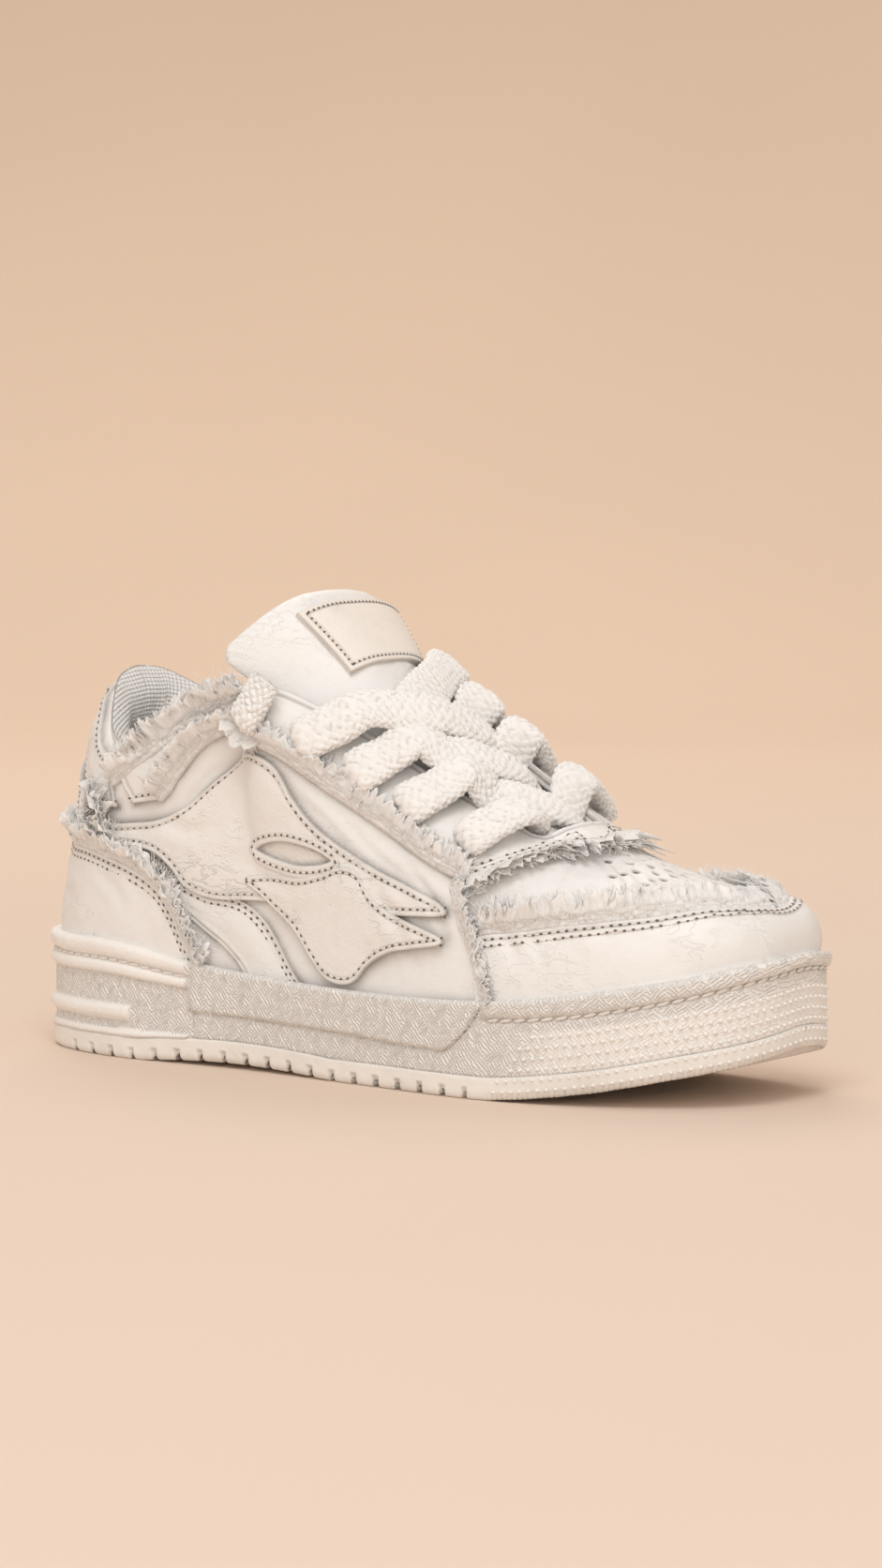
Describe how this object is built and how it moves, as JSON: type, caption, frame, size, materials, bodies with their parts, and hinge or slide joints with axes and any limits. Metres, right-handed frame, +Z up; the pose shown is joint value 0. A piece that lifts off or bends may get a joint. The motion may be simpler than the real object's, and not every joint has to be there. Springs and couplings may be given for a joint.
{
  "type": "low-top sneaker",
  "caption": "Chunky low-top lace-up sneaker for the right foot, with a hollow leather upper, padded collar, thick tongue and a grooved rubber cup sole.",
  "frame": {"origin": "middle of the shoe's footprint box, at floor level", "axes": "+Z up from the floor, +Y from heel to toe, +X to the outer side of the right foot"},
  "size_m": [0.0924, 0.2678, 0.145],
  "materials": {
    "sole_rubber": "matte",
    "upper_leather": "soft satin",
    "lining_mesh": "matte",
    "lace_cotton": "matte"
  },
  "bodies": {
    "root": {"outsole": "sole_rubber", "midsole": "sole_rubber", "insole": "lining_mesh", "upper": "upper_leather", "toe_guard": "upper_leather", "heel_counter": "upper_leather", "eyestay_outer": "upper_leather", "eyestay_inner": "upper_leather", "collar_lining": "lining_mesh", "tongue": "upper_leather", "tongue_label": "upper_leather", "laces": "lace_cotton", "lace_stub_outer": "lace_cotton", "lace_stub_inner": "lace_cotton"}
  },
  "joints": []
}
